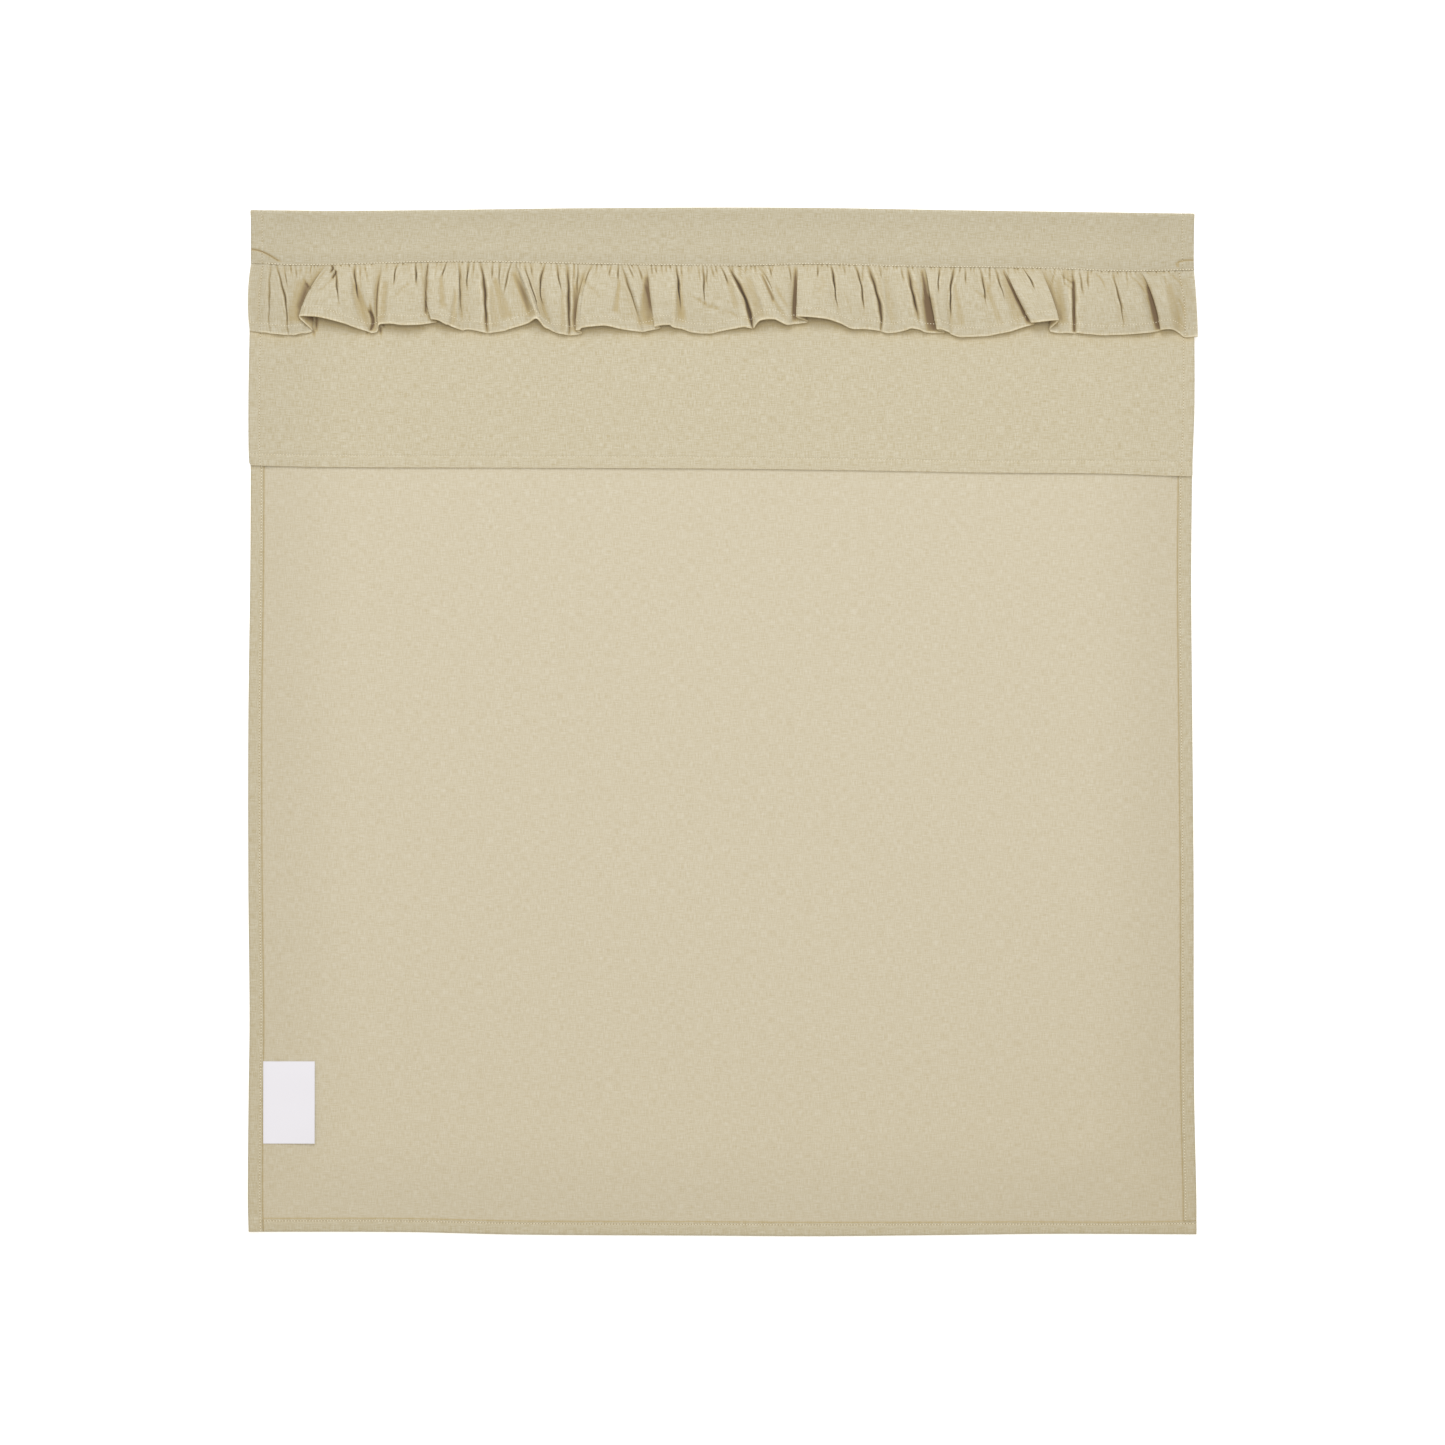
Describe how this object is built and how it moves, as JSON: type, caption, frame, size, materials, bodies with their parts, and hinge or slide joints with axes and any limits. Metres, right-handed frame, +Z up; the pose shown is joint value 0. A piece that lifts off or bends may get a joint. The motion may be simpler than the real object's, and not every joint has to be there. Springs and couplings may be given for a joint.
{
  "type": "bed sheet",
  "caption": "Flat cotton cradle sheet laid out with its hemmed top turned down, a gathered ruffle along the turn-back and a small blank care label.",
  "frame": {"origin": "middle of the laid-out sheet, on the surface it lies on", "axes": "+Y towards the top fold, +X to the right as seen from above, +Z up out of the surface"},
  "size_m": [0.7447, 0.8071, 0.0134],
  "materials": {
    "cotton_wrong_side": "matt plain weave, sand beige, wrong side",
    "cotton_right_side": "matt plain weave with slub, sand beige, right side",
    "satin_tape": "white woven satin tape"
  },
  "bodies": {
    "root": {"main_panel": "cotton_wrong_side", "turn_back_panel": "cotton_right_side", "ruffle": "cotton_right_side", "care_label": "satin_tape"}
  },
  "joints": []
}
